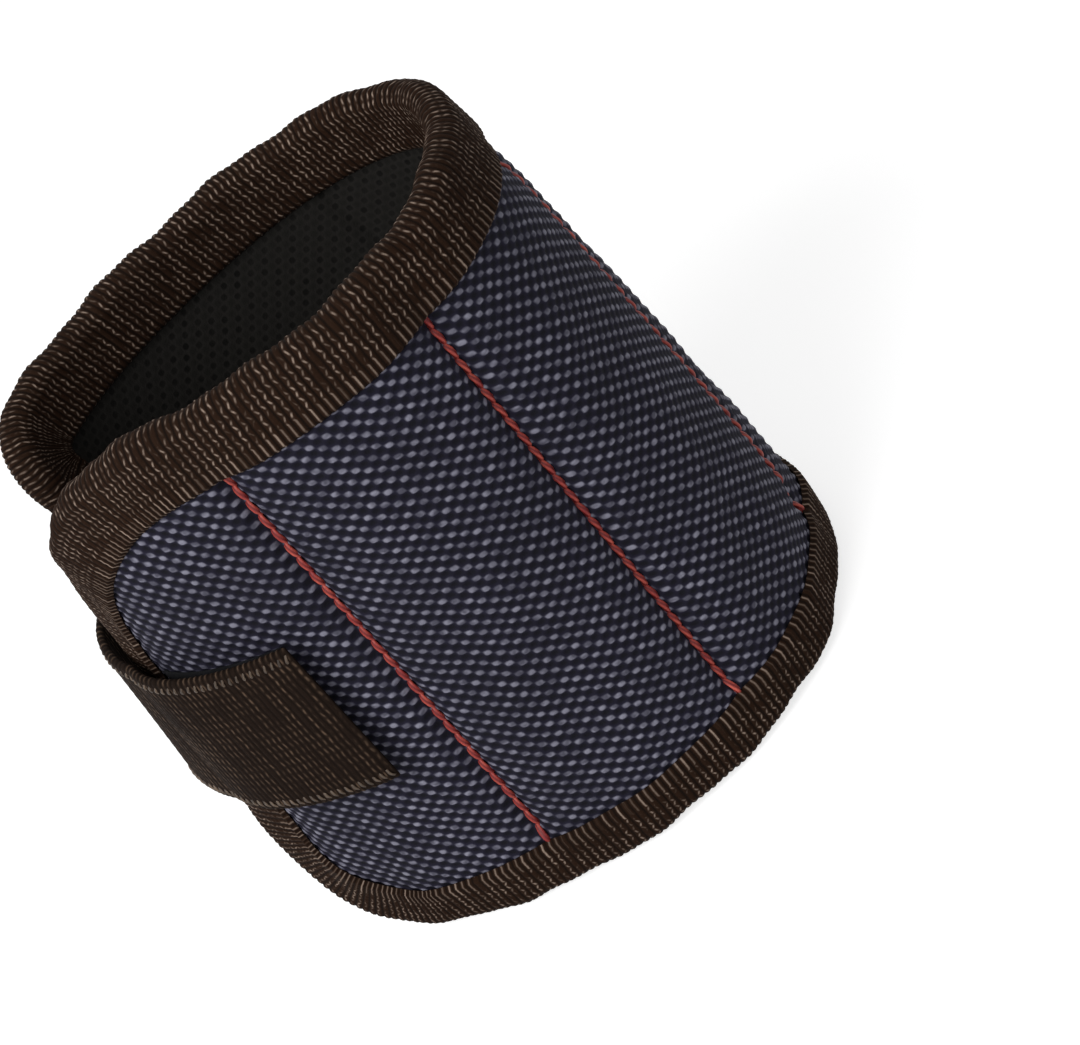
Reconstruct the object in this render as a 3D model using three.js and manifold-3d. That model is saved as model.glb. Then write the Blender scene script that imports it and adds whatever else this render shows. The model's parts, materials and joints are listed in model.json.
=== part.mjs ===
// Magnetic wristband: a padded cloth cuff with magnets sewn into pockets and a hook-and-loop strap.
// Millimetres, +Z along the forearm towards the elbow, the hand-side edge on Z = 0, the front on -Y.
// The cuff is laid out flat, as it is cut and sewn, and then wrapped round the wrist:
// u runs along the band from its near end, z across its width and d outwards from the fold surface,
// which holds the fold lines along the stitch rows.

import * as THREE from 'three';
import { mergeVertices } from 'three/addons/utils/BufferGeometryUtils.js';
import Module from 'manifold-3d';

const wasm = await Module();
wasm.setup();

// The cuff as worn
const CUFF_WIDTH = 90;
const UPPER_HALF_BREADTH = 36.2;
const UPPER_HALF_DEPTH = 24.6;
const LOWER_HALF_BREADTH = 42.8;
const LOWER_HALF_DEPTH = 30;
const LOWER_FORWARD_SHIFT = 5.4;
const SIDE_LOBE = -0.037;
const FRONT_LOBE = 0.03;
const NEAR_END_STAND_OFF = 3;
const STAND_OFF_REACH = 20;

// The flat panel
const POCKET_NAMES = ['a', 'b', 'c', 'd', 'e'];
const POCKET_PITCH = 32.5;
const NEAR_END_MARGIN = 8;
const FAR_END_MARGIN = 32;
const NEAR_UPPER_CORNER_RADIUS = 36;
const NEAR_LOWER_CORNER_RADIUS = 22;
const FAR_CORNER_RADIUS = 12;
const FRONT_POCKET = 1;

// Layers, from the skin outwards
const LINING_DEPTH = -1.1;
const LINING_THICKNESS = 0.6;
const FOAM_EDGE_THICKNESS = 1.35;
const FOAM_CROWN_RISE = 2.1;
const CLOTH_THICKNESS = 0.7;
const LAYER_GAP = 0.15;
const CROWN_POWER_ALONG = 3.2;
const CROWN_POWER_ACROSS = 4;

// Fold lines
const FOLD_HALF_GAP = 1.3;
const FOLD_DEPTH = 1;

// Binding tape
const BINDING_THICKNESS = 0.6;
const BINDING_COVER = 10.5;
const BINDING_GAP = 0.35;

// Magnets
const MAGNET_DIAMETER = 12;
const MAGNET_THICKNESS = 1.5;
const MAGNET_DEPTH = 0.5;
const MAGNET_SPACING = 36;
const WELL_CLEARANCE = 0.3;

// Stitch rows
const THREAD_WIDTH = 0.9;
const THREAD_HEIGHT = 0.8;

// Strap
const STRAP_WIDTH = 25;
const STRAP_THICKNESS = 1.3;
const STRAP_CENTRE_HEIGHT = 44;
const STRAP_END_TO_ROW = 7;
const PULL_TAB_LENGTH = 9;
const STRAP_SEWN_LENGTH = 12;
const STRAP_SWING_INSET = 20.65;
const STRAP_PEEL_REACH = 1;
const STRAP_HINGE_HALF_GAP = 0.2;
const HOOK_THICKNESS = 0.9;
const LOOP_THICKNESS = 1;
const HOOK_INSET = 1.5;
const LOOP_INSET = 2;
const HOOK_START_TO_BINDING = 1.5;
const BOX_STITCH_INSET = 2.5;

// Facets
const FACET_LENGTH = 3.4;
const WIDTH_STEPS = 8;
const STRAIGHT_WIDTH_STEPS = 2;
const TAPE_LEG_STEPS = 3;
const MAGNET_SIDES = 20;
const ARC_DIVISIONS = 720;
const BOX_INNER_FACE = 5;

// What follows from the sizes
const FIRST_ROW = NEAR_END_MARGIN + POCKET_PITCH;
const PANEL_LENGTH = NEAR_END_MARGIN + POCKET_NAMES.length * POCKET_PITCH + FAR_END_MARGIN;
const FRONT_CENTRE = NEAR_END_MARGIN + (FRONT_POCKET + 0.5) * POCKET_PITCH;
const LINING_TOP = LINING_DEPTH + LINING_THICKNESS;
const FOAM_DEPTH = LINING_TOP + LAYER_GAP;
const EDGE_INSET = BINDING_THICKNESS + BINDING_GAP;
const CLOTH_EDGE_TOP = FOAM_DEPTH + FOAM_EDGE_THICKNESS + LAYER_GAP + CLOTH_THICKNESS;
const LAST_POCKET = POCKET_NAMES.length - 1;

const cuff = new THREE.Group();

const finishes = {
  cloth: { color: 0x23242f, roughness: 0.75, metalness: 0 },
  lining: { color: 0x17171a, roughness: 0.95, metalness: 0 },
  foam: { color: 0x3a3a3c, roughness: 1, metalness: 0 },
  binding: { color: 0x2b231e, roughness: 0.85, metalness: 0 },
  strap: { color: 0x261f1b, roughness: 0.85, metalness: 0 },
  fastener: { color: 0x121214, roughness: 1, metalness: 0 },
  thread: { color: 0xa8282d, roughness: 0.6, metalness: 0 },
  magnet: { color: 0xb9bcc0, roughness: 0.3, metalness: 1 },
};

function addPiece(name, geometry, finish) {
  const piece = new THREE.Mesh(geometry, new THREE.MeshStandardMaterial(finishes[finish]));
  piece.name = name;
  cuff.add(piece);
}

// One edge of the cuff as worn: an oval that starts at the front and runs anticlockwise seen from above.
class WristOval extends THREE.Curve {
  constructor(halfBreadth, halfDepth, forwardShift) {
    super();
    this.halfBreadth = halfBreadth;
    this.halfDepth = halfDepth;
    this.forwardShift = forwardShift;
    this.arcLengthDivisions = ARC_DIVISIONS;
  }

  getPoint(turn, target = new THREE.Vector3()) {
    const angle = Math.PI * (2 * turn - 0.5);
    const reach = 1 + SIDE_LOBE * Math.cos(3 * angle) + FRONT_LOBE * Math.sin(3 * angle);
    const x = this.halfBreadth * reach * Math.cos(angle);
    const y = this.halfDepth * reach * Math.sin(angle) - this.forwardShift;
    return target.set(x, y, 0);
  }
}

const lowerOval = new WristOval(LOWER_HALF_BREADTH, LOWER_HALF_DEPTH, LOWER_FORWARD_SHIFT);
const upperOval = new WristOval(UPPER_HALF_BREADTH, UPPER_HALF_DEPTH, 0);

function onOval(oval, u) {
  const turns = (u - FRONT_CENTRE) / oval.getLength();
  const fraction = turns - Math.floor(turns);
  return { point: oval.getPointAt(fraction), tangent: oval.getTangentAt(fraction) };
}

function cuffGirth(z) {
  return THREE.MathUtils.lerp(lowerOval.getLength(), upperOval.getLength(), z / CUFF_WIDTH);
}

// The strap swings off the far end, inside its edge, where it is sewn down.
const swingLine = PANEL_LENGTH - STRAP_SWING_INSET - cuffGirth(STRAP_CENTRE_HEIGHT);

// How far the near end stands off the wrist. Off that end (negative u) the strap comes down again,
// smoothly, to the line where it swings.
function standOff(u) {
  if (u >= 0) {
    return NEAR_END_STAND_OFF * Math.max(0, 1 - u / STAND_OFF_REACH) ** 2;
  }
  const share = THREE.MathUtils.clamp(1 - u / swingLine, 0, 1);
  const slope = (-2 * swingLine) / STAND_OFF_REACH;
  return NEAR_END_STAND_OFF * share ** 2 * (3 - 2 * share + slope * (1 - share));
}

// Wraps a flat place (u, z, d) round the wrist.
function wrap(u, z, d) {
  const share = z / CUFF_WIDTH;
  const low = onOval(lowerOval, u);
  const high = onOval(upperOval, u);
  const point = low.point.lerp(high.point, share);
  const tangent = low.tangent.lerp(high.tangent, share).normalize();
  const outward = d + standOff(u);
  return new THREE.Vector3(point.x + outward * tangent.y, point.y - outward * tangent.x, z);
}

// Leaves a closed body with shared corners and faces that point outwards.
function closeBody(geometry) {
  geometry.deleteAttribute('normal');
  geometry.deleteAttribute('uv');
  const body = mergeVertices(geometry, 1e-5);
  const place = body.attributes.position;
  const corners = body.index.array;
  const a = new THREE.Vector3();
  const b = new THREE.Vector3();
  const c = new THREE.Vector3();
  let volume = 0;
  for (let i = 0; i < corners.length; i += 3) {
    a.fromBufferAttribute(place, corners[i]);
    b.fromBufferAttribute(place, corners[i + 1]);
    c.fromBufferAttribute(place, corners[i + 2]);
    volume += a.dot(b.cross(c));
  }
  if (volume < 0) {
    for (let i = 0; i < corners.length; i += 3) {
      [corners[i], corners[i + 1]] = [corners[i + 1], corners[i]];
    }
  }
  body.computeVertexNormals();
  return body;
}

// Moves every corner of a geometry with place(x, y, z), which returns the corner's final position.
function reshape(geometry, place) {
  const position = geometry.attributes.position;
  for (let i = 0; i < position.count; i += 1) {
    const spot = place(position.getX(i), position.getY(i), position.getZ(i));
    position.setXYZ(i, spot.x, spot.y, spot.z);
  }
  return closeBody(geometry);
}

// Splits a box's inner face along the same diagonals as its outer face,
// so that layers laid out on the same grid stay parallel once they are bent.
function matchDiagonals(box) {
  const inner = box.groups[BOX_INNER_FACE];
  const corners = box.index.array;
  for (let i = inner.start; i < inner.start + inner.count; i += 6) {
    const [a, b, d] = corners.slice(i, i + 3);
    const c = corners[i + 4];
    corners.set([a, b, c, a, c, d], i);
  }
  return box;
}

// A sheet between two depths, over a stretch of the flat panel.
// uAt(share) and zAt(share, u) lay it out, depthAt(share, u, z) gives its inner and outer face.
function sheet(stepsAlong, stepsAcross, uAt, zAt, depthAt) {
  const flat = matchDiagonals(new THREE.BoxGeometry(1, 1, 1, stepsAlong, stepsAcross, 1));
  return reshape(flat, (x, y, w) => {
    const u = uAt(x + 0.5);
    const z = zAt(y + 0.5, u);
    return wrap(u, z, depthAt(w + 0.5, u, z));
  });
}

function toSolid(geometry) {
  const vertProperties = new Float32Array(geometry.attributes.position.array);
  const triVerts = new Uint32Array(geometry.index.array);
  return new wasm.Manifold(new wasm.Mesh({ numProp: 3, vertProperties, triVerts }));
}

function fromSolid(solid) {
  const mesh = solid.getMesh();
  const geometry = new THREE.BufferGeometry();
  geometry.setAttribute('position', new THREE.BufferAttribute(new Float32Array(mesh.vertProperties), 3));
  geometry.setIndex(new THREE.BufferAttribute(new Uint32Array(mesh.triVerts), 1));
  geometry.computeVertexNormals();
  return geometry;
}

// Each pocket swells between its two fold lines and is drawn in under the bindings.
function crown(u, z) {
  const pocketShare = (u - NEAR_END_MARGIN) / POCKET_PITCH;
  const pocket = THREE.MathUtils.clamp(Math.floor(pocketShare), 0, LAST_POCKET);
  const along = THREE.MathUtils.clamp(2 * (pocketShare - pocket) - 1, -1, 1);
  const halfOpenWidth = CUFF_WIDTH / 2 - EDGE_INSET;
  const across = THREE.MathUtils.clamp((z - CUFF_WIDTH / 2) / halfOpenWidth, -1, 1);
  const rise = 1 - Math.abs(along) ** CROWN_POWER_ALONG;
  return FOAM_CROWN_RISE * rise * (1 - Math.abs(across) ** CROWN_POWER_ACROSS);
}

const foamTop = (u, z) => FOAM_DEPTH + FOAM_EDGE_THICKNESS + crown(u, z);
const clothTop = (u, z) => CLOTH_EDGE_TOP + crown(u, z);
const bindingTop = (u, z) => clothTop(u, z) + BINDING_GAP + BINDING_THICKNESS;

// How far a round corner lifts a layer's edge off the binding's fold, at a distance from the layer's end.
function cornerLift(fromEnd, cornerRadius) {
  const radius = cornerRadius - EDGE_INSET;
  const run = THREE.MathUtils.clamp(radius - fromEnd, 0, radius);
  return radius - Math.sqrt(radius ** 2 - run ** 2);
}

function layerInset(u, nearCornerRadius) {
  const nearLift = cornerLift(u - EDGE_INSET, nearCornerRadius);
  const farLift = cornerLift(PANEL_LENGTH - EDGE_INSET - u, FAR_CORNER_RADIUS);
  return EDGE_INSET + Math.max(nearLift, farLift);
}

// The stretch of the band that one pocket's layers take, inside the bindings and between the fold lines.
function pocketStart(pocket) {
  return pocket === 0 ? EDGE_INSET : NEAR_END_MARGIN + pocket * POCKET_PITCH + FOLD_HALF_GAP;
}

function pocketEnd(pocket) {
  if (pocket === LAST_POCKET) {
    return PANEL_LENGTH - EDGE_INSET;
  }
  return NEAR_END_MARGIN + (pocket + 1) * POCKET_PITCH - FOLD_HALF_GAP;
}

// Steps that crowd towards both edges, where the pocket is drawn in and the corners are round.
const closerAtEnds = (share) => (1 - Math.cos(Math.PI * share)) / 2;

const stepsFor = (length) => Math.ceil(length / FACET_LENGTH);

const isEndPocket = (pocket) => pocket === 0 || pocket === LAST_POCKET;

function pocketLayer(pocket, stepsAcross, inner, outer) {
  const start = pocketStart(pocket);
  const end = pocketEnd(pocket);
  const uAt = (share) => THREE.MathUtils.lerp(start, end, share);
  const zAt = (share, u) => {
    const bottom = layerInset(u, NEAR_LOWER_CORNER_RADIUS);
    const top = CUFF_WIDTH - layerInset(u, NEAR_UPPER_CORNER_RADIUS);
    return THREE.MathUtils.lerp(bottom, top, closerAtEnds(share));
  };
  const depthAt = (share, u, z) => THREE.MathUtils.lerp(inner(u, z), outer(u, z), share);
  return sheet(stepsFor(end - start), stepsAcross, uAt, zAt, depthAt);
}

// Magnets lie flat in their pocket, so they are set square to the wrapped surface at their centre.
function magnetDisc(u, z, diameter, thickness, depth) {
  const disc = new THREE.CylinderGeometry(diameter / 2, diameter / 2, thickness, MAGNET_SIDES);
  const centre = wrap(u, z, depth + thickness / 2);
  const outward = wrap(u, z, 1).sub(wrap(u, z, 0)).normalize();
  const lengthwise = wrap(u, z + 1, 0).sub(wrap(u, z - 1, 0)).normalize();
  const facing = outward.addScaledVector(lengthwise, -outward.dot(lengthwise)).normalize();
  disc.applyQuaternion(new THREE.Quaternion().setFromUnitVectors(new THREE.Vector3(0, 1, 0), facing));
  disc.translate(centre.x, centre.y, centre.z);
  return closeBody(disc);
}

const magnetHeights = {
  lower: (CUFF_WIDTH - MAGNET_SPACING) / 2,
  upper: (CUFF_WIDTH + MAGNET_SPACING) / 2,
};

function foamPad(pocket) {
  let pad = toSolid(pocketLayer(pocket, WIDTH_STEPS, () => FOAM_DEPTH, foamTop));
  const centre = NEAR_END_MARGIN + (pocket + 0.5) * POCKET_PITCH;
  const wellDiameter = MAGNET_DIAMETER + 2 * WELL_CLEARANCE;
  const wellFloor = MAGNET_DEPTH - WELL_CLEARANCE;
  const wellDepth = foamTop(centre, CUFF_WIDTH / 2) + CLOTH_THICKNESS - wellFloor;
  for (const height of Object.values(magnetHeights)) {
    pad = pad.subtract(toSolid(magnetDisc(centre, height, wellDiameter, wellDepth, wellFloor)));
  }
  return fromSolid(pad);
}

// The tape's section: one leg on the lining, a flat fold over the edge and one leg on the cloth.
// Its first number is negative in the inner leg, over one in the outer leg and between them in the fold.
function tapeLeg(across, from) {
  const points = [];
  for (let step = 0; step <= TAPE_LEG_STEPS; step += 1) {
    const cover = THREE.MathUtils.lerp(from, BINDING_COVER, step / TAPE_LEG_STEPS);
    points.push(new THREE.Vector2(across, cover));
  }
  return points;
}

const tapeSection = new THREE.Shape([
  ...tapeLeg(1 + BINDING_THICKNESS, 0),
  ...tapeLeg(1, BINDING_THICKNESS).reverse(),
  ...tapeLeg(0, BINDING_THICKNESS),
  ...tapeLeg(-BINDING_THICKNESS, 0).reverse(),
]);

function tapeDepth(across, u, z) {
  const inner = LINING_DEPTH - BINDING_GAP;
  const outer = clothTop(u, z) + BINDING_GAP;
  if (across <= 0) {
    return inner + across;
  }
  return across >= 1 ? outer + across - 1 : THREE.MathUtils.lerp(inner, outer, across);
}

// Folds the tape over an edge of the flat panel. The path keeps the panel on its left.
function bindingTape(path) {
  const steps = stepsFor(path.getLength());
  const straight = new THREE.ExtrudeGeometry(tapeSection, { depth: 1, steps, bevelEnabled: false });
  return reshape(straight, (across, cover, share) => {
    const edge = path.getPoint(share);
    const along = path.getTangent(share);
    const u = edge.x - cover * along.y;
    const z = edge.y + cover * along.x;
    return wrap(u, z, tapeDepth(across, u, z));
  });
}

function lowerEdgePath(pocket) {
  const start = new THREE.Vector2(pocketStart(pocket), 0);
  return new THREE.LineCurve(start, new THREE.Vector2(pocketEnd(pocket), 0));
}

function upperEdgePath(pocket) {
  const start = new THREE.Vector2(pocketEnd(pocket), CUFF_WIDTH);
  return new THREE.LineCurve(start, new THREE.Vector2(pocketStart(pocket), CUFF_WIDTH));
}

// The end bindings run in along one edge, round both corners and back along the other edge.
function nearEndPath() {
  const path = new THREE.Path();
  const upper = NEAR_UPPER_CORNER_RADIUS;
  const lower = NEAR_LOWER_CORNER_RADIUS;
  path.moveTo(FIRST_ROW - FOLD_HALF_GAP, CUFF_WIDTH);
  path.lineTo(upper, CUFF_WIDTH);
  path.absarc(upper, CUFF_WIDTH - upper, upper, Math.PI / 2, Math.PI, false);
  path.lineTo(0, lower);
  path.absarc(lower, lower, lower, Math.PI, 1.5 * Math.PI, false);
  path.lineTo(FIRST_ROW - FOLD_HALF_GAP, 0);
  return path;
}

function farEndPath() {
  const path = new THREE.Path();
  const radius = FAR_CORNER_RADIUS;
  const start = pocketStart(LAST_POCKET);
  const corner = PANEL_LENGTH - radius;
  path.moveTo(start, 0);
  path.lineTo(corner, 0);
  path.absarc(corner, radius, radius, -Math.PI / 2, 0, false);
  path.lineTo(PANEL_LENGTH, CUFF_WIDTH - radius);
  path.absarc(corner, CUFF_WIDTH - radius, radius, 0, Math.PI / 2, false);
  path.lineTo(start, CUFF_WIDTH);
  return path;
}

POCKET_NAMES.forEach((name, pocket) => {
  const clothInner = (u, z) => foamTop(u, z) + LAYER_GAP;
  addPiece(`outer_cloth_${name}`, pocketLayer(pocket, WIDTH_STEPS, clothInner, clothTop), 'cloth');
  const liningSteps = isEndPocket(pocket) ? WIDTH_STEPS : STRAIGHT_WIDTH_STEPS;
  const lining = pocketLayer(pocket, liningSteps, () => LINING_DEPTH, () => LINING_TOP);
  addPiece(`lining_${name}`, lining, 'lining');
  addPiece(`foam_pad_${name}`, foamPad(pocket), 'foam');
  const centre = NEAR_END_MARGIN + (pocket + 0.5) * POCKET_PITCH;
  for (const [level, height] of Object.entries(magnetHeights)) {
    const magnet = magnetDisc(centre, height, MAGNET_DIAMETER, MAGNET_THICKNESS, MAGNET_DEPTH);
    addPiece(`magnet_${level}_${name}`, magnet, 'magnet');
  }
  if (!isEndPocket(pocket)) {
    addPiece(`lower_binding_${name}`, bindingTape(lowerEdgePath(pocket)), 'binding');
    addPiece(`upper_binding_${name}`, bindingTape(upperEdgePath(pocket)), 'binding');
  }
});
addPiece('near_end_binding', bindingTape(nearEndPath()), 'binding');
addPiece('far_end_binding', bindingTape(farEndPath()), 'binding');

// A stitch row lies in its fold line, from one binding to the other.
for (let row = 1; row < POCKET_NAMES.length; row += 1) {
  const rowAt = NEAR_END_MARGIN + row * POCKET_PITCH;
  const uAt = (share) => rowAt + (share - 0.5) * THREAD_WIDTH;
  const zAt = (share) => THREE.MathUtils.lerp(BINDING_COVER, CUFF_WIDTH - BINDING_COVER, share);
  const depthAt = (share) => FOLD_DEPTH + (share - 0.5) * THREAD_HEIGHT;
  addPiece(`red_stitch_row_${row}`, sheet(1, 1, uAt, zAt, depthAt), 'thread');
}

// The strap is laid out from the near end: negative u lies off that end, over the mouth and the far end.
const strapBottom = STRAP_CENTRE_HEIGHT - STRAP_WIDTH / 2;
const strapEnd = FIRST_ROW - STRAP_END_TO_ROW;
const fastenerStart = BINDING_COVER + HOOK_START_TO_BINDING;
const loopTop = (u, z) => clothTop(u, z) + LAYER_GAP + LOOP_THICKNESS;
const hookTop = (u, z) => loopTop(u, z) + LAYER_GAP + HOOK_THICKNESS;

// Where the near end's u falls once round the wrist, on the far end's stretch of the panel.
const farPlace = (u, z) => Math.min(u + cuffGirth(z), PANEL_LENGTH);

// The strap's inner face: on the far end's binding, then across the mouth, then on the hook pad.
function strapSeat(u, z) {
  const share = THREE.MathUtils.smoothstep(u, swingLine, 0);
  const onFarEnd = bindingTop(farPlace(u, z), z) + LAYER_GAP;
  const onNearEnd = hookTop(Math.max(u, 0), z) + LAYER_GAP;
  return THREE.MathUtils.lerp(onFarEnd, onNearEnd, share);
}

function strapStretch(from, to, bottom, top, inner, outer) {
  const uAt = (share) => THREE.MathUtils.lerp(from, to, share);
  const zAt = (share) => THREE.MathUtils.lerp(bottom, top, share);
  const depthAt = (share, u, z) => THREE.MathUtils.lerp(inner(u, z), outer(u, z), share);
  return sheet(stepsFor(to - from), STRAIGHT_WIDTH_STEPS, uAt, zAt, depthAt);
}

const strapTop = (u, z) => strapSeat(u, z) + STRAP_THICKNESS;
const strapUpper = strapBottom + STRAP_WIDTH;
const baseStart = swingLine - STRAP_SEWN_LENGTH;
const peelLine = -STRAP_PEEL_REACH;
const tabLine = strapEnd - PULL_TAB_LENGTH;

function strapPiece(from, to) {
  return strapStretch(from, to, strapBottom, strapUpper, strapSeat, strapTop);
}

addPiece('strap_sewn_base', strapPiece(baseStart, swingLine - STRAP_HINGE_HALF_GAP), 'strap');
addPiece('strap_bridge', strapPiece(swingLine + STRAP_HINGE_HALF_GAP, peelLine - STRAP_HINGE_HALF_GAP), 'strap');
addPiece('strap_over', strapPiece(peelLine + STRAP_HINGE_HALF_GAP, tabLine - STRAP_HINGE_HALF_GAP), 'strap');
addPiece('strap_pull_tab', strapPiece(tabLine + STRAP_HINGE_HALF_GAP, strapEnd), 'strap');

const hookBottom = strapBottom + HOOK_INSET;
const hookUpper = strapUpper - HOOK_INSET;
const hookInner = (u, z) => loopTop(u, z) + LAYER_GAP;
const hookPad = strapStretch(fastenerStart, tabLine - HOOK_INSET, hookBottom, hookUpper, hookInner, hookTop);
addPiece('hook_pad', hookPad, 'fastener');

const loopInner = (u, z) => clothTop(u, z) + LAYER_GAP;
const loopEnd = strapEnd - LOOP_INSET;
const loopPatch = strapStretch(fastenerStart, loopEnd, hookBottom, hookUpper, loopInner, loopTop);
addPiece('loop_patch', loopPatch, 'fastener');

// The stitching that holds the sewn base: one bar of thread along its middle.
const boxStitchInner = (u, z) => strapTop(u, z) + LAYER_GAP;
const boxStitchOuter = (u, z) => boxStitchInner(u, z) + THREAD_HEIGHT;
const boxStitch = strapStretch(
  baseStart + BOX_STITCH_INSET,
  swingLine - BOX_STITCH_INSET,
  STRAP_CENTRE_HEIGHT - THREAD_WIDTH / 2,
  STRAP_CENTRE_HEIGHT + THREAD_WIDTH / 2,
  boxStitchInner,
  boxStitchOuter,
);
addPiece('strap_base_stitch', boxStitch, 'thread');

// The origin lies on the hand-side edge's plane, under the middle of the cuff's box.
const middle = new THREE.Box3().setFromObject(cuff).getCenter(new THREE.Vector3());
cuff.position.set(-middle.x, -middle.y, 0);

export default cuff;
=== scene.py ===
"""Magnetic wristband: its woven cloth, bound edges, thread and strap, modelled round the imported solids.

The band is laid out flat in millimetres, as it is cut and sewn, and then wrapped round the wrist:
u runs along the band from its near end, z across its width and d outwards from the fold surface.
"""

import json
import math

import bmesh
import bpy
import numpy as np
from mathutils import Matrix, Vector


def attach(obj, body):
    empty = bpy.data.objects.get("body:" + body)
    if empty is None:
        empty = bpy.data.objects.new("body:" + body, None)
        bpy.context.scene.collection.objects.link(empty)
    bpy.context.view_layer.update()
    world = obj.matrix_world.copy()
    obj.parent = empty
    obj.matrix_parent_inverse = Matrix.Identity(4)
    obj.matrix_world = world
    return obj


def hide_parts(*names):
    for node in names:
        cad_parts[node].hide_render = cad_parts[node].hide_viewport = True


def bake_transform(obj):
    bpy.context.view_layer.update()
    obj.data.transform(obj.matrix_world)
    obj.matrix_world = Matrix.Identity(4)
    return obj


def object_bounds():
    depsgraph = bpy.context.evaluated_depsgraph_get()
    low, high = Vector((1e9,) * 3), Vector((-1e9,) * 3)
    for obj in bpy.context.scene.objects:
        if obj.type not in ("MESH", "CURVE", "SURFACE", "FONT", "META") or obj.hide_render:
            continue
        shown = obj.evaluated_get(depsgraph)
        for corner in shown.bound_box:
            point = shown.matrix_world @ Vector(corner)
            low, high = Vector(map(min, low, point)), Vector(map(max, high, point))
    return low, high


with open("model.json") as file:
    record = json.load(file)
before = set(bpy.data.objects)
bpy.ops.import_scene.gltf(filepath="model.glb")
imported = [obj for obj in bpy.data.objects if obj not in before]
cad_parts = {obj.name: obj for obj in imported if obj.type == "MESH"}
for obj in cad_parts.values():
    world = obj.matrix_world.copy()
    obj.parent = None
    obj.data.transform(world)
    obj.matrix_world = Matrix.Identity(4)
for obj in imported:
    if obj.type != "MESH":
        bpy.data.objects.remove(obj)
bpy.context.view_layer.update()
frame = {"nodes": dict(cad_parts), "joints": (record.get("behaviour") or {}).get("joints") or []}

MM = 0.001

# The cuff as worn
CUFF_WIDTH = 90
UPPER_HALF_BREADTH = 36.2
UPPER_HALF_DEPTH = 24.6
LOWER_HALF_BREADTH = 42.8
LOWER_HALF_DEPTH = 30
LOWER_FORWARD_SHIFT = 5.4
SIDE_LOBE = -0.037
FRONT_LOBE = 0.03
LOBES = 3
NEAR_END_STAND_OFF = 3
STAND_OFF_REACH = 20
ARC_DIVISIONS = 4000

# The flat panel
POCKETS = ["a", "b", "c", "d", "e"]
POCKET_PITCH = 32.5
FRONT_POCKET = 1
NEAR_END_MARGIN = 8
FAR_END_MARGIN = 32
NEAR_UPPER_CORNER_RADIUS = 36
NEAR_LOWER_CORNER_RADIUS = 22
FAR_CORNER_RADIUS = 12
FIRST_ROW = NEAR_END_MARGIN + POCKET_PITCH
PANEL_LENGTH = NEAR_END_MARGIN + len(POCKETS) * POCKET_PITCH + FAR_END_MARGIN
FRONT_CENTRE = NEAR_END_MARGIN + (FRONT_POCKET + 0.5) * POCKET_PITCH
LAST_POCKET = len(POCKETS) - 1
ROWS = range(1, len(POCKETS))

# Layers, from the skin outwards
LINING_DEPTH = -1.1
LINING_THICKNESS = 0.6
FOAM_EDGE_THICKNESS = 1.35
FOAM_CROWN_RISE = 2.1
CLOTH_THICKNESS = 0.7
LAYER_GAP = 0.15
CROWN_POWER_ALONG = 3.2
CROWN_POWER_ACROSS = 4
FOLD_DEPTH = 1
LINING_TOP = LINING_DEPTH + LINING_THICKNESS
CLOTH_EDGE_TOP = LINING_TOP + LAYER_GAP + FOAM_EDGE_THICKNESS + LAYER_GAP + CLOTH_THICKNESS

# Binding tape
BINDING_THICKNESS = 0.6
BINDING_COVER = 10.5
LOWER_BINDING_COVER = 8.6
BINDING_GAP = 0.35
BINDING_FOLD_REACH = 2.2
BINDING_LIP = 0.7
EDGE_INSET = BINDING_THICKNESS + BINDING_GAP
LAYER_INSET = 2.6

# Strap
STRAP_WIDTH = 25
STRAP_THICKNESS = 1.3
STRAP_CENTRE_HEIGHT = 44
STRAP_END_TO_ROW = 7
PULL_TAB_LENGTH = 9
STRAP_SEWN_LENGTH = 12
STRAP_SWING_INSET = 20.65
STRAP_PEEL_REACH = 1
HOOK_THICKNESS = 0.9
LOOP_THICKNESS = 1
HOOK_INSET = 1.5
LOOP_INSET = 2
HOOK_START_TO_BINDING = 1.5
STRAP_BOTTOM = STRAP_CENTRE_HEIGHT - STRAP_WIDTH / 2
STRAP_TOP = STRAP_CENTRE_HEIGHT + STRAP_WIDTH / 2
STRAP_END = FIRST_ROW - STRAP_END_TO_ROW
PEEL_LINE = -STRAP_PEEL_REACH
TAB_LINE = STRAP_END - PULL_TAB_LENGTH
FASTENER_START = BINDING_COVER + HOOK_START_TO_BINDING

# The webbing's selvage
SELVAGE_PITCH = 1.05
SELVAGE_DEPTH = 2
SELVAGE_SLANT = 0.45
SELVAGE_RADIUS = 0.2

# Yarn spacings, measured on the photograph's weave, with a usual one for the lining
CLOTH_PITCH = (1.25, 1.0)
TAPE_PITCH = (1.05, 0.95)
STRAP_PITCH = (0.82, 1.4)
LINING_PITCH = (1.3, 1.3)
CLOTH_YARN_RISE = 0.42
CLOTH_YARN_SINK = 0.3
TAPE_YARN_RISE = 0.26
STRAP_YARN_RISE = 0.14
LINING_YARN_RISE = 0.12
RIB_ROUNDNESS = 0.7
RIB_PINCH = 0.7
# The painted highlight line on a rib of tape or strap: its half width and its sway, in shares of a rib
TAPE_LINE = (0.2, 0.13)
STRAP_LINE = (0.24, 0.05)
# A fleck is longest along the falling diagonal: the wave across that diagonal is the stronger one
FLECK_WAVES = (0.4, -0.6)
# The tape's yarns run straight for this many rows from its edge before they start to cross
TAPE_STRAIGHT_ROWS = 2.5

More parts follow.
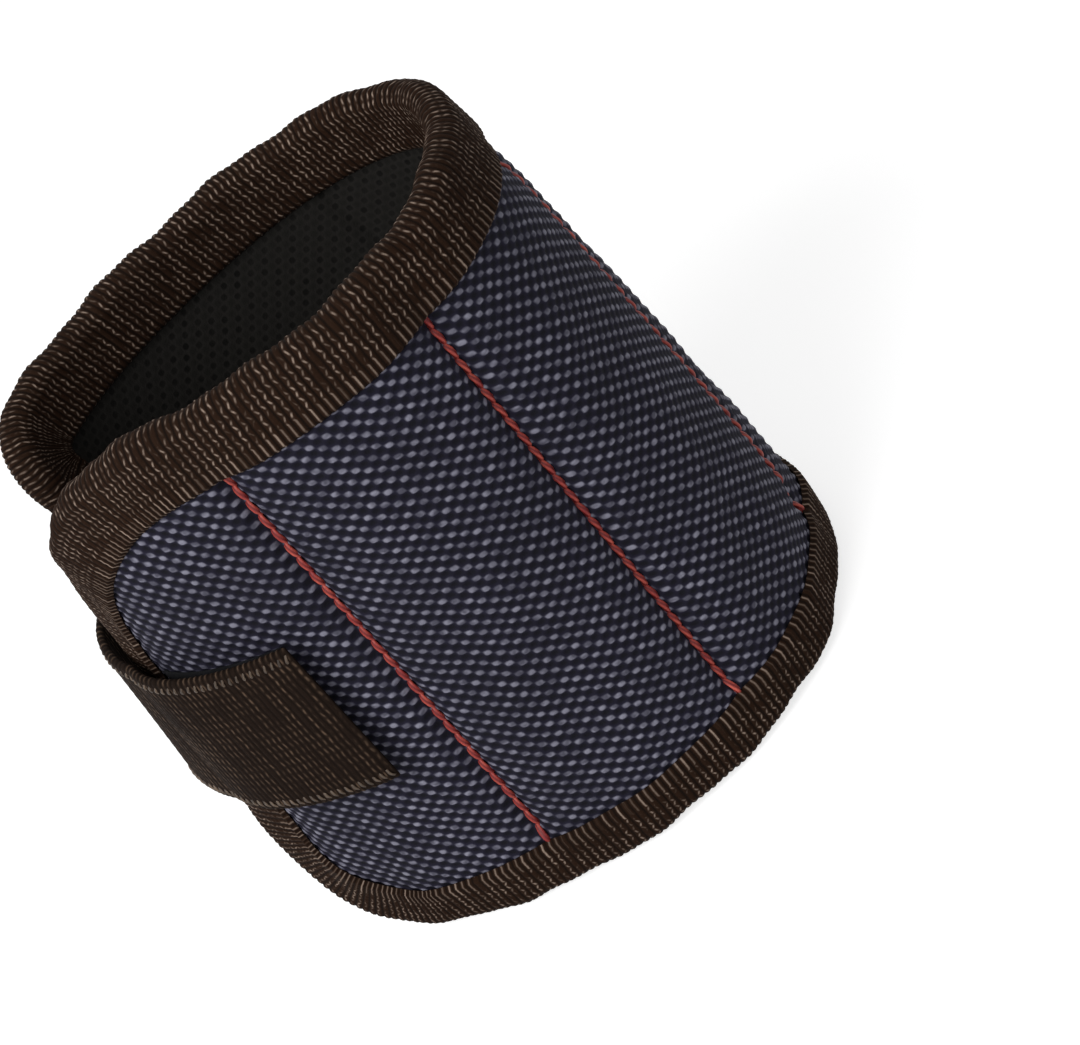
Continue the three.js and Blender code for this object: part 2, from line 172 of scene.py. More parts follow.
# Thread
STITCH_LENGTH = 2.7
THREAD_RADIUS = 0.48
ROW_DIP = 1.15
ROW_DIP_REACH = 1.2
ROW_CALM_REACH = 6
ROW_TUCK = 0.4
ROW_FADE_UNDER = 2
ROW_FADE_PAST = 1
PUCKER_HEIGHT = 0.14
PUCKER_STITCHES = 3
PUCKER_REACH = 3
# The row on the wrist's side lies on its sharpest bend, where the cloth is taut and hardly dips
TAUT_ROW = 3
TAUT_SHARE = 0.75
TAUT_ROW_DIP = 0.7
TAUT_FADE = 5
THREAD_PLIES = 3
THREAD_SIDES = 12
THREAD_TURNS = 1.1
PLY_DEPTH = 0.14
STITCH_STEPS = 12
STITCH_SLANT = 0.7
STITCH_OVERLAP = 0.12
# A stitch arches from its hole to its crest: its thickness at the hole as a share, and both depths in radii
STITCH_ARCH_POWER = 0.5
STITCH_HOLE_SHARE = 0.6
STITCH_HOLE_DEPTH = -1.1
STITCH_CREST_RISE = 0.75
BOX_STITCH_INSET = 2.5
BOX_THREAD_RADIUS = 0.28

# Soft shape: each wave has its length along and across the band, its height and its phase
CLOTH_WAVES = [(27, 46, 0.18, 0.4), (-17, 31, 0.13, 2.1), (11.5, -38, 0.08, 4.0), (39, 15, 0.1, 5.2)]
RIM_WAVES = [(19, 31, 0.7, 0.7), (7.3, 9.7, 0.3, 2.0)]
RIM_WAVE = 0.8
TAPE_SEAT = 0.2
STRAP_EASE = 4
STRAP_END_FLATNESS = 0.03
LINING_LIFT = 0.5

# Fasteners
HOOK_BACKING = 0.3
HOOK_CURL = 0.17
HOOK_SPACING = 1.4
HOOK_STEM_SHARE = 0.5
HOOK_CURL_ANGLE = 1.25 * math.pi
BRISTLE_RADIUS = 0.1
BRISTLE_SIDES = 5
BRISTLE_STEPS = 8
LOOP_BACKING = 0.3
LOOP_SPACING = 1.1
LOOP_HALF_WIDTH = 0.55
LOOP_RADIUS = 0.07
LOOP_UNEVENNESS = 0.25
LOOP_UNEVEN_STEP = 1.7
SPOT_INSET = 0.6
SPOT_STAGGER = 0.4
GOLDEN_ANGLE = 2.39996

# Mesh steps
YARN_STEPS = 4
UNDERSIDE_STEPS = 24
TAPE_LEG_STEPS = 38
TAPE_FOLD_STEPS = 22
TAPE_LINING_STEPS = 16
TAPE_UNDER_STEPS = 4
TAPE_RIB_STEPS = 4
STRAP_YARN_STEPS = 4
STRAP_EDGE_STEPS = 6
FASTENER_STEPS = 12
SEAM_GAP = 0.002
FOAM_FLAT_ANGLE = 0.5
FOAM_SHARP_ANGLE = 35

# Finishes: patch sizes in millimetres, and the spans of a value or a noise that a pattern is drawn from
NOISE_SPAN = (0.3, 0.7)
CHANCE_SPAN = (0.38, 0.62)
WANDER_SCALE = 0.45
WEAR_PATCH = 14
WEAR_LEAST = 0.7
# Single filaments are too fine to show, so their relief is drawn coarser
FIBRE_SIZE = 0.3
FIBRE_RELIEF = 0.1
FIBRE_STRENGTH = 0.3
GROUND_ROUGHNESS = 0.85
RIDGE_SPAN = (-0.8, 0.4)
FLECK_SPAN = (0.1, 0.72)
LINE_CORE = 0.02
RIB_PLATEAU = 0.2
PULSE_FULL = 0.6
PULSE_LEAST = 0.08
PLY_CREST = 0.05
THREAD_HIGHLIGHT_PATCH = 2.2
THREAD_FIBRE_SIZE = 0.2
THREAD_FIBRE_RELIEF = 0.05
MOULDED_RELIEF = 0.1
MOULDED_STRENGTH = 0.4

# Stage and camera, fitted to the photograph's 1080 by 1045 pixels
PHOTO_WIDTH = 1080
FOCAL_PIXELS = 3141
SENSOR_WIDTH = 36
CAMERA_ELEVATION = 33
CAMERA_ROLL = -40.18
CAMERA_DISTANCE = 440
CAMERA_RIGHT = 17.79
CAMERA_UP = -4.24
CUFF_MIDDLE = Vector((0, 0, CUFF_WIDTH / 2 * MM))
FLOOR_HALF_SIZE = 3
FLOOR_LIFT = 0.72


def smoothstep(x, low, high):
    share = np.clip((x - low) / (high - low), 0, 1)
    return share * share * (3 - 2 * share)


def lerp(a, b, share):
    return a + (b - a) * share


def bell(distance, reach):
    """1 at no distance, falling off within a reach on both sides."""
    return np.exp(-((distance / reach) ** 2))


class WristOval:
    """One edge of the cuff as worn, read by its distance along the band from the front."""

    def __init__(self, half_breadth, half_depth, forward_shift):
        turn = np.linspace(0, 1, ARC_DIVISIONS + 1)
        angle = math.pi * (2 * turn - 0.5)
        reach = 1 + SIDE_LOBE * np.cos(LOBES * angle) + FRONT_LOBE * np.sin(LOBES * angle)
        self.x = half_breadth * reach * np.cos(angle)
        self.y = half_depth * reach * np.sin(angle) - forward_shift
        steps = np.hypot(np.diff(self.x), np.diff(self.y))
        self.distance = np.concatenate([[0], np.cumsum(steps)])
        self.length = self.distance[-1]
        self.along_x = np.gradient(self.x, self.distance)
        self.along_y = np.gradient(self.y, self.distance)

    def read(self, u):
        distance = np.mod(u - FRONT_CENTRE, self.length)
        found = [self.x, self.y, self.along_x, self.along_y]
        return [np.interp(distance, self.distance, values) for values in found]


LOWER_OVAL = WristOval(LOWER_HALF_BREADTH, LOWER_HALF_DEPTH, LOWER_FORWARD_SHIFT)
UPPER_OVAL = WristOval(UPPER_HALF_BREADTH, UPPER_HALF_DEPTH, 0)


def cuff_girth(z):
    return lerp(LOWER_OVAL.length, UPPER_OVAL.length, z / CUFF_WIDTH)


SWING_LINE = PANEL_LENGTH - STRAP_SWING_INSET - cuff_girth(STRAP_CENTRE_HEIGHT)
STRAP_START = SWING_LINE - STRAP_SEWN_LENGTH


def stand_off(u):
    """How far the near end stands off the wrist, and how the strap comes down again from it."""
    on_panel = np.clip(1 - u / STAND_OFF_REACH, 0, 1) ** 2
    share = np.clip(1 - u / SWING_LINE, 0, 1)
    slope = -2 * SWING_LINE / STAND_OFF_REACH
    on_strap = share**2 * (3 - 2 * share + slope * (1 - share))
    return NEAR_END_STAND_OFF * np.where(u >= 0, on_panel, on_strap)


def wrap_flat(u, z, d):
    """The wrapped place of flat places, in millimetres, before the cuff is centred."""
    u, z, d = np.broadcast_arrays(*[np.asarray(value, float) for value in (u, z, d)])
    d = d + stand_off(u)
    share = z / CUFF_WIDTH
    x, y, along_x, along_y = [
        lerp(low, high, share) for low, high in zip(LOWER_OVAL.read(u), UPPER_OVAL.read(u))
    ]
    size = np.hypot(along_x, along_y)
    return np.stack([x + d * along_y / size, y - d * along_x / size, z], axis=-1)


def joint(name):
    return next(j for j in frame["joints"] if j["name"] == name)


# The solids are centred over the origin, so the first fold line's hinge says where the flat layout lies.
CENTRING = np.array(joint("fold_row_1")["pos_m"]) / MM - wrap_flat(FIRST_ROW, CUFF_WIDTH / 2, FOLD_DEPTH)


def wrap(u, z, d):
    """The wrapped place of flat places, in metres, in the frame of the solids."""
    return (wrap_flat(u, z, d) + CENTRING) * MM


def row_place(row):
    return NEAR_END_MARGIN + row * POCKET_PITCH


def pocket_middle(pocket):
    return NEAR_END_MARGIN + (pocket + 0.5) * POCKET_PITCH


def crown(u, z):
    """How far each pocket swells between its two fold lines."""
    share = (u - NEAR_END_MARGIN) / POCKET_PITCH
    pocket = np.clip(np.floor(share), 0, LAST_POCKET)
    along = np.clip(2 * (share - pocket) - 1, -1, 1)
    half_open_width = CUFF_WIDTH / 2 - EDGE_INSET
    across = np.clip((z - CUFF_WIDTH / 2) / half_open_width, -1, 1)
    rise = 1 - np.abs(along) ** CROWN_POWER_ALONG
    return FOAM_CROWN_RISE * rise * (1 - np.abs(across) ** CROWN_POWER_ACROSS)


def cloth_top(u, z):
    return CLOTH_EDGE_TOP + crown(u, z)


def under_strap(u, z):
    """1 on both ends of the panel where the strap presses them flat, falling to 0 round about."""
    across = smoothstep(STRAP_WIDTH / 2 + STRAP_EASE - np.abs(z - STRAP_CENTRE_HEIGHT), 0, STRAP_EASE)
    near_end = smoothstep(STRAP_END + STRAP_EASE - u, 0, STRAP_EASE)
    far_end = smoothstep(u - STRAP_START - cuff_girth(z) + STRAP_EASE, 0, STRAP_EASE)
    return across * np.maximum(near_end, far_end)


def row_distance(u):
    """The distance to the nearest stitch row, and that row's number."""
    row = np.clip(np.round((u - NEAR_END_MARGIN) / POCKET_PITCH), ROWS[0], ROWS[-1])
    return u - row_place(row), row


def waves_at(u, z, waves):
    return sum(
        height * np.sin(2 * math.pi * (u / along + z / across) + phase)
        for along, across, height, phase in waves
    )


def ripple(u, z):
    """Slow unevenness of soft cloth, held flat at the rows and under the strap."""
    distance, _ = row_distance(u)
    off_rows = 1 - bell(distance, ROW_CALM_REACH)
    return waves_at(u, z, CLOTH_WAVES) * off_rows * (1 - under_strap(u, z))


def between_bindings(z):
    """1 on the open cloth, falling to 0 just under both bindings."""
    from_edge = np.minimum(z, CUFF_WIDTH - z)
    return smoothstep(from_edge, BINDING_COVER - ROW_FADE_UNDER, BINDING_COVER + ROW_FADE_PAST)


def row_pull(u, z):
    """How far a stitch row draws the cloth in, with the small puckers that its stitches leave."""
    distance, row = row_distance(u)
    depth = np.where(row == TAUT_ROW, TAUT_ROW_DIP, ROW_DIP)
    in_dip = bell(distance, ROW_DIP_REACH)
    beside_row = np.exp(-np.abs(distance) / PUCKER_REACH) * (1 - in_dip)
    pucker = PUCKER_HEIGHT * np.sin(2 * math.pi * z / (PUCKER_STITCHES * STITCH_LENGTH) + row)
    return depth * in_dip * between_bindings(z) - pucker * beside_row


def taut_lift(u, z):
    """How far the taut cloth at the wrist's side lies above the valley between the two pads there."""
    valley = crown(pocket_middle(TAUT_ROW), z) - crown(u, z)
    near_row = 1 - smoothstep(np.abs(u - row_place(TAUT_ROW)), 0, POCKET_PITCH / 2)
    from_binding = np.minimum(z, CUFF_WIDTH - z) - BINDING_COVER
    return TAUT_SHARE * valley * near_row * smoothstep(from_binding, 0, TAUT_FADE)


def woven(along, across, pitch, rise):
    """The height of a weave: a low oval pillow at every other crossing, where the bright yarn is on top."""
    column = along / pitch[0]
    row = across / pitch[1]
    waves = [np.cos(math.pi * (column - row)), np.cos(math.pi * (column + row))]
    return rise * (1 + sum(share * wave for share, wave in zip(FLECK_WAVES, waves))) / 2


def ribbed(along, across, pitch, rise):
    """The height of a ribbed weave: ridges across the tape, pinched in turn by crossing yarns."""
    rib = along / pitch[0]
    ridge = np.abs(np.sin(math.pi * rib)) ** RIB_ROUNDNESS
    pinch = np.sin(math.pi * (across / pitch[1] + np.mod(np.floor(rib), 2) / 2)) ** 2
    return rise * ridge * lerp(1, RIB_PINCH, pinch)


def corner_lift(from_end, corner_radius):
    radius = corner_radius - LAYER_INSET
    run = np.clip(radius - from_end, 0, radius)
    return radius - np.sqrt(radius**2 - run**2)


def layer_edges(u):
    """The heights of a layer's lower and upper edge, inside the binding's fold, round corners included."""
    far = corner_lift(PANEL_LENGTH - LAYER_INSET - u, FAR_CORNER_RADIUS)
    lower = np.maximum(corner_lift(u - LAYER_INSET, NEAR_LOWER_CORNER_RADIUS), far)
    upper = np.maximum(corner_lift(u - LAYER_INSET, NEAR_UPPER_CORNER_RADIUS), far)
    return LAYER_INSET + lower, CUFF_WIDTH - LAYER_INSET - upper


# Finishes


def linear(hex_colour):
    """An sRGB hex colour as linear red, green, blue and alpha."""
    channels = [int(hex_colour[i : i + 2], 16) / 255 for i in (1, 3, 5)]
    return [c / 12.92 if c <= 0.04045 else ((c + 0.055) / 1.055) ** 2.4 for c in channels] + [1.0]


def add(tree, kind, inputs=None, **settings):
    """Adds a node with its settings, and its inputs as values, or linked from sockets or nodes."""
    made = tree.nodes.new(kind)
    for name, value in settings.items():
        setattr(made, name, value)
    for name, value in (inputs or {}).items():
        source = value.outputs[0] if isinstance(value, bpy.types.Node) else value
        if isinstance(source, bpy.types.NodeSocket):
            tree.links.new(source, made.inputs[name])
        else:
            made.inputs[name].default_value = source
    return made


def new_material(name):
    material = bpy.data.materials.new(name)
    material.use_nodes = True
    material.node_tree.nodes.clear()
    return material, material.node_tree


def finish_material(tree, shader_inputs):
    shader = add(tree, "ShaderNodeBsdfPrincipled", shader_inputs)
    add(tree, "ShaderNodeOutputMaterial", {"Surface": shader})


def unevenness(tree, size_mm, low, high):
    """A slow change over the surface, from low to high, in patches of the given size."""
    place = add(tree, "ShaderNodeTexCoord").outputs["Object"]
    noise = add(tree, "ShaderNodeTexNoise", {"Vector": place, "Scale": 1 / (size_mm * MM), "Detail": 3.0})
    least, most = NOISE_SPAN
    span = {"Value": noise, "From Min": least, "From Max": most, "To Min": low, "To Max": high}
    return add(tree, "ShaderNodeMapRange", span)


def near_middle(tree, count, plateau, reach):
    """1 over a plateau about the middle of each column or row, falling to 0 at a reach from it."""
    share = add(tree, "ShaderNodeMath", {0: count}, operation="FRACT")
    offset = add(tree, "ShaderNodeMath", {0: share, 1: 0.5}, operation="SUBTRACT")
    distance = add(tree, "ShaderNodeMath", {0: offset}, operation="ABSOLUTE")
    span = {"Value": distance, "From Min": plateau, "From Max": reach, "To Min": 1.0, "To Max": 0.0}
    return add(tree, "ShaderNodeMapRange", span, interpolation_type="SMOOTHSTEP")


def checkered_flecks(tree, column, row):
    """The ridges and flecks of a weave whose crossing yarn comes up at every other crossing; on the cloth
    the valleys between ridges take painted shade, and each fleck is partly a lighter yarn and partly a
    painted highlight.
    """
    height = 0.0
    for share, operation in zip(FLECK_WAVES, ("SUBTRACT", "ADD")):
        diagonal = add(tree, "ShaderNodeMath", {0: column, 1: row}, operation=operation)
        angle = add(tree, "ShaderNodeMath", {0: diagonal, 1: math.pi}, operation="MULTIPLY")
        wave = add(tree, "ShaderNodeMath", {0: angle}, operation="COSINE")
        height = add(tree, "ShaderNodeMath", {0: wave, 1: share, 2: height}, operation="MULTIPLY_ADD")
    ridge_span = {"Value": height, "From Min": RIDGE_SPAN[0], "From Max": RIDGE_SPAN[1]}
    ridge = add(tree, "ShaderNodeMapRange", ridge_span)
    fleck_span = {"Value": height, "From Min": FLECK_SPAN[0], "From Max": FLECK_SPAN[1]}
    return ridge, add(tree, "ShaderNodeMapRange", fleck_span, interpolation_type="SMOOTHSTEP")


def rib_lines(tree, column, row, half_width, sway_reach):
    """The ridges of a ribbed weave, with painted shade between them, each with a thin painted highlight
    along its crest that sways as other yarns cross it.
    """
    angle = add(tree, "ShaderNodeMath", {0: row, 1: math.pi}, operation="MULTIPLY")
    sway = add(tree, "ShaderNodeMath", {0: angle}, operation="SINE")
    swayed = add(tree, "ShaderNodeMath", {0: sway, 1: sway_reach, 2: column}, operation="MULTIPLY_ADD")
    # The line is a painted highlight along the rib's crest.
    line = near_middle(tree, swayed, LINE_CORE, half_width)
    double_angle = add(tree, "ShaderNodeMath", {0: angle, 1: 2.0}, operation="MULTIPLY")
    pulse = add(tree, "ShaderNodeMath", {0: double_angle}, operation="COSINE")
    span = {"Value": pulse, "From Min": -1.0, "From Max": PULSE_FULL, "To Min": PULSE_LEAST, "To Max": 1.0}
    pulsing = add(tree, "ShaderNodeMapRange", span)
    fleck = add(tree, "ShaderNodeMath", {0: line, 1: pulsing}, operation="MULTIPLY")
    # The ridge mask puts painted shade between the ribs.
    return near_middle(tree, column, RIB_PLATEAU, 0.5), fleck


def woven_material(name, colours, pattern, wander, patches, least, gloss, shader_inputs):
    """Dark yarns with darker grooves, which are painted shade on the cloth, tape and strap, and the flecks
    that a pattern makes of columns and rows.

    The weave's own coordinates count its columns and rows, and wander from them by a share of a yarn.
    The flecks' brightness is uneven, from least to 1, in patches of so many columns and rows.
    Their roughness falls from the ground's to the gloss given.
    """
    groove, ground, bright = [linear(colour) for colour in colours]
    material, tree = new_material(name)
    weave = add(tree, "ShaderNodeUVMap", uv_map="weave")
    noise = add(tree, "ShaderNodeTexNoise", {"Vector": weave, "Scale": WANDER_SCALE, "Detail": 2.0})
    off_middle = {0: noise.outputs["Color"], 1: (0.5, 0.5, 0.5)}
    drift = add(tree, "ShaderNodeVectorMath", off_middle, operation="SUBTRACT")
    shifts = {0: drift, 1: (wander, wander, 0.0), 2: weave}
    wandering = add(tree, "ShaderNodeVectorMath", shifts, operation="MULTIPLY_ADD")
    split = add(tree, "ShaderNodeSeparateXYZ", {"Vector": wandering})
    ridge, fleck = pattern(tree, split.outputs["X"], split.outputs["Y"])
    patch_size = {0: weave, 1: (*patches, 1.0)}
    patch_place = add(tree, "ShaderNodeVectorMath", patch_size, operation="DIVIDE")
    chance = add(tree, "ShaderNodeTexNoise", {"Vector": patch_place, "Scale": 1.0, "Detail": 1.0})
    low, high = CHANCE_SPAN
    span = {"Value": chance, "From Min": low, "From Max": high, "To Min": least, "To Max": 1.0}
    strength = add(tree, "ShaderNodeMapRange", span)
    worn = unevenness(tree, WEAR_PATCH, WEAR_LEAST, 1.0)
    lit = add(tree, "ShaderNodeMath", {0: fleck, 1: strength}, operation="MULTIPLY")
    lit = add(tree, "ShaderNodeMath", {0: lit, 1: worn}, operation="MULTIPLY")
    raised = add(tree, "ShaderNodeMath", {0: ridge, 1: worn}, operation="MULTIPLY")
    # Painted shade: on the cloth, tape and strap the groove colour darkens the valleys of the weave.
    dark = add(tree, "ShaderNodeMix", {"Factor": raised, 6: groove, 7: ground}, data_type="RGBA").outputs[2]
    # The flecks: painted highlights on the tape and strap, partly lighter yarn and partly painted highlight
    # on the cloth, dark holes on the lining.
    colour = add(tree, "ShaderNodeMix", {"Factor": lit, 6: dark, 7: bright}, data_type="RGBA").outputs[2]
    fibre_height = unevenness(tree, FIBRE_SIZE, 0.0, 1.0)
    relief = {"Height": fibre_height, "Strength": FIBRE_STRENGTH, "Distance": FIBRE_RELIEF * MM}
    bump = add(tree, "ShaderNodeBump", relief)
    roughness = add(tree, "ShaderNodeMapRange", {"Value": lit, "To Min": GROUND_ROUGHNESS, "To Max": gloss})
    finish_material(tree, {"Base Color": colour, "Roughness": roughness, "Normal": bump, **shader_inputs})
    return material


# Ballistic nylon, woven from thick shiny filament yarn: a navy-black ground with painted shade in its
# grooves, and a light oval fleck wherever the crossing yarn comes up, in a checkerboard, partly a lighter
# yarn and partly a painted highlight.
BALLISTIC_NYLON = woven_material(
    "woven_ballistic_nylon",
    colours=("#0c0b13", "#1f1d2e", "#858493"),
    pattern=checkered_flecks,
    wander=0.32,
    patches=(1.2, 1.2),
    least=0.32,
    gloss=0.45,
    shader_inputs={"IOR": 1.53, "Specular IOR Level": 0.15},
)

# Polyester grosgrain tape: brown-black ribs across the tape, with painted shade between them, each with a
# thin swaying line of tan painted highlight.
GROSGRAIN = woven_material(
    "grosgrain_polyester_tape",
    colours=("#120a06", "#281910", "#988577"),
    pattern=lambda tree, column, row: rib_lines(tree, column, row, *TAPE_LINE),
    wander=0.35,
    patches=(1.1, 3.0),
    least=0.0,
    gloss=0.55,
    shader_inputs={"IOR": 1.55, "Specular IOR Level": 0.06},
)

# Polyester strap webbing: fine brown-black ribs along the forearm, duller than the tape, with painted shade
# between them and a faint painted highlight line on each.
WEBBING = woven_material(
    "ribbed_polyester_webbing",
    colours=("#130c08", "#1f1611", "#5e4c3e"),
    pattern=lambda tree, column, row: rib_lines(tree, column, row, *STRAP_LINE),
    wander=0.45,
    patches=(1.2, 5.0),
    least=0.0,
    gloss=0.6,
    shader_inputs={"IOR": 1.55, "Specular IOR Level": 0.05},
)

# Warp-knitted lining mesh: matt black, with small dark holes in a staggered grid.
LINING_MESH = woven_material(
    "knitted_lining_mesh",
    colours=("#1c1b19", "#272523", "#080807"),
    pattern=checkered_flecks,
    wander=0.1,
    patches=(2.0, 2.0),
    least=0.7,
    gloss=0.85,
    shader_inputs={"IOR": 1.5, "Specular IOR Level": 0.1},
)


def thread_material(name, dark, middle, light):
    """Twisted polyester thread: plies that wind round it, with painted shade in their grooves, and on their
    crests the thread's colour, turned in random patches to a painted highlight.
    """
    material, tree = new_material(name)
    plies = add(tree, "ShaderNodeUVMap", uv_map="weave")
    split = add(tree, "ShaderNodeSeparateXYZ", {"Vector": plies})
    # Painted shade in the grooves between the plies, and the crest colour on their crests.
    crest = near_middle(tree, split.outputs["X"], PLY_CREST, 0.5)
    # Painted highlight: in random patches the crest colour turns to the light one.
    highlight_patches = unevenness(tree, THREAD_HIGHLIGHT_PATCH, 0.0, 1.0)
    shades = {"Factor": highlight_patches, 6: linear(middle), 7: linear(light)}
    lit = add(tree, "ShaderNodeMix", shades, data_type="RGBA").outputs[2]
    shades = {"Factor": crest, 6: linear(dark), 7: lit}
    colour = add(tree, "ShaderNodeMix", shades, data_type="RGBA").outputs[2]
    fibre_height = unevenness(tree, THREAD_FIBRE_SIZE, 0.0, 1.0)
    relief = {"Height": fibre_height, "Strength": FIBRE_STRENGTH, "Distance": THREAD_FIBRE_RELIEF * MM}
    bump = add(tree, "ShaderNodeBump", relief)
    shader_inputs = {"Roughness": 0.5, "IOR": 1.55, "Specular IOR Level": 0.25}
    finish_material(tree, {"Base Color": colour, "Normal": bump, **shader_inputs})
    return material


# Sewing thread: dull red, with painted shade between its plies and, in random patches, a painted orange
# highlight where its plies come up.
RED_THREAD = thread_material("red_polyester_thread", "#64181b", "#8a2b2b", "#c4594a")

# The webbing's own yarn at its edges: brown-black, with a painted highlight along one side of each loop and
# painted shade along the other.
SELVAGE_YARN = thread_material("brown_selvage_yarn", "#17100b", "#2f251d", "#776555")


def moulded_material(name, low, high, patch_mm, bump_mm, shader_inputs):
    """One material in two near shades, with a fine uneven surface."""
    material, tree = new_material(name)
    shades = {"Factor": unevenness(tree, patch_mm, 0.0, 1.0), 6: linear(low), 7: linear(high)}
    colour = add(tree, "ShaderNodeMix", shades, data_type="RGBA").outputs[2]
    height = unevenness(tree, bump_mm, 0.0, 1.0)
    relief = {"Height": height, "Strength": MOULDED_STRENGTH, "Distance": MOULDED_RELIEF * MM}
    bump = add(tree, "ShaderNodeBump", relief)
    finish_material(tree, {"Base Color": colour, "Normal": bump, **shader_inputs})
    return material


# Closed-cell foam: dull dark grey, finely pitted where it was split to thickness.
FOAM = moulded_material(
    "closed_cell_foam", "#333336", "#424246", patch_mm=4, bump_mm=0.6,
    shader_inputs={"Roughness": 0.95, "IOR": 1.45},
)

# Nickel-plated magnets: bright grey metal with faint tumbling marks.
NICKEL = moulded_material(
    "tumbled_nickel_plating", "#b5b2aa", "#c6c3bc", patch_mm=5, bump_mm=0.8,
    shader_inputs={"Metallic": 1.0, "Roughness": 0.28},
)

# Hook tape: stiff black nylon bristles, slightly shiny.
HOOK_NYLON = moulded_material(
    "nylon_hook_tape", "#121213", "#1c1c1e", patch_mm=3, bump_mm=0.5,
    shader_inputs={"Roughness": 0.45, "IOR": 1.53, "Specular IOR Level": 0.25},
)

# Loop tape: napped black nylon pile, matt.
LOOP_PILE = moulded_material(
    "napped_loop_pile", "#0e0e10", "#1b1b1e", patch_mm=2.5, bump_mm=0.4,
    shader_inputs={"Roughness": 0.95, "IOR": 1.53, "Specular IOR Level": 0.15},
)


# Pieces


def new_piece(name, mesh, material):
    mesh.materials.append(material)
    piece = bpy.data.objects.new(name, mesh)
    bpy.context.scene.collection.objects.link(piece)
    return piece


def closed_piece(name, steps_along, steps_around, place, material, count=1):
    """A closed form, or several alike, each from a grid bent until its first and last columns meet.

    place(along, turn, which) takes the share along the form, the step round its section and its number,
    and gives u, z and d in millimetres and the two coordinates of the weave, in yarns.
    """
    bm = bmesh.new()
    for _ in range(count):
        bmesh.ops.create_grid(bm, x_segments=steps_along, y_segments=steps_around, size=0.5)
    mesh = bpy.data.meshes.new(name)
    bm.to_mesh(mesh)
    bm.free()
    places = np.empty(len(mesh.vertices) * 3, np.float32)
    mesh.vertices.foreach_get("co", places)
    shares = places.reshape(-1, 3).astype(float) + 0.5
    turn = np.round(shares[:, 1] * steps_around).astype(int)
    which = np.arange(len(shares)) * count // len(shares)
    u, z, d, yarn_along, yarn_across = place(shares[:, 0], turn, which)
    mesh.vertices.foreach_set("co", wrap(u, z, d).astype(np.float32).ravel())
    corners = np.empty(len(mesh.loops), np.int32)
    mesh.loops.foreach_get("vertex_index", corners)
    weave = mesh.uv_layers.new(name="weave")
    yarns = np.stack([yarn_along, yarn_across], axis=-1)[corners]
    weave.data.foreach_set("uv", yarns.astype(np.float32).ravel())
    mesh.shade_smooth()

    bm = bmesh.new()
    bm.from_mesh(mesh)
    bmesh.ops.remove_doubles(bm, verts=bm.verts, dist=SEAM_GAP * MM)
    open_edges = [edge for edge in bm.edges if edge.is_boundary]
    bmesh.ops.edgeloop_fill(bm, edges=open_edges)
    for edge in open_edges:
        edge.smooth = False
    bmesh.ops.recalc_face_normals(bm, faces=bm.faces)
    bm.to_mesh(mesh)
    bm.free()
    return new_piece(name, mesh, material)


def bend_at(piece, joint_name, u, z):
    """Finds the hinge of a fold line and the band's direction across it at u, and bakes the piece's
    transform into its mesh.
    """
    hinge = joint(joint_name)
    axis = Vector(hinge["axis"]).normalized()
    along = Vector(wrap(u + 1, z, 0) - wrap(u - 1, z, 0))
    along = (along - along.dot(axis) * axis).normalized()
    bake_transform(piece)


def pocket_body(pocket):
    return f"pocket_{POCKETS[pocket]}"


def bend_at_row(piece, row):
    bend_at(
        piece,
        f"fold_row_{row}",
        row_place(row),
        CUFF_WIDTH / 2,
    )


def two_faces(outer_steps, inner_steps):
    """Shares across a sheet, round its section: up its outer face and down its inner one."""
    outer = np.linspace(0, 1, outer_steps + 1)
    inner = np.linspace(1, 0, inner_steps + 1)
    across = np.concatenate([outer, inner, outer[:1]])
    is_outer = np.concatenate([np.ones(outer_steps + 1), np.zeros(inner_steps + 1), [1]]) > 0
    return across, is_outer


def steps_for(length, step):
    return max(1, math.ceil(length / step))


def cloth_surface(u, z):
    return cloth_top(u, z) + ripple(u, z) + taut_lift(u, z) - row_pull(u, z)


def panel_stretches():
    """The panel's stretches, cut at mid-pocket, each with one stitch row."""
    marks = [LAYER_INSET, *[pocket_middle(row) for row in ROWS[:-1]], PANEL_LENGTH - LAYER_INSET]
    names = ["near_end", *[f"fold_{row}" for row in ROWS[1:-1]], "far_end"]
    return list(zip(names, marks[:-1], marks[1:], ROWS))


def make_cloth(stretch, start, end):
    across, is_outer = two_faces(steps_for(CUFF_WIDTH, CLOTH_PITCH[1] / YARN_STEPS), UNDERSIDE_STEPS)

    def place(along, turn, which):
        u = lerp(start, end, along)
        z = lerp(*layer_edges(u), across[turn])
        yarn = woven(u, z, CLOTH_PITCH, CLOTH_YARN_RISE) - CLOTH_YARN_SINK
        d = cloth_surface(u, z) + np.where(is_outer[turn], yarn, -CLOTH_THICKNESS)
        return u, z, d, u / CLOTH_PITCH[0], z / CLOTH_PITCH[1]

    steps = steps_for(end - start, CLOTH_PITCH[0] / YARN_STEPS)
    return closed_piece(f"cloth_{stretch}", steps, len(across) - 1, place, BALLISTIC_NYLON)


def make_lining(stretch, start, end):
    across, is_outer = two_faces(UNDERSIDE_STEPS, steps_for(CUFF_WIDTH, LINING_PITCH[1] / 2))

    def place(along, turn, which):
        u = lerp(start, end, along)
        z = lerp(*layer_edges(u), across[turn])
        distance, _ = row_distance(u)
        quilted = LINING_LIFT * bell(distance, ROW_DIP_REACH) * between_bindings(z)
        knit = woven(u, z, LINING_PITCH, LINING_YARN_RISE)
        d = quilted + np.where(is_outer[turn], LINING_TOP, LINING_DEPTH + knit)
        return u, z, d, u / LINING_PITCH[0], z / LINING_PITCH[1]

    steps = steps_for(end - start, LINING_PITCH[0] / 2)
    return closed_piece(f"lining_{stretch}", steps, len(across) - 1, place, LINING_MESH)


# Binding tape


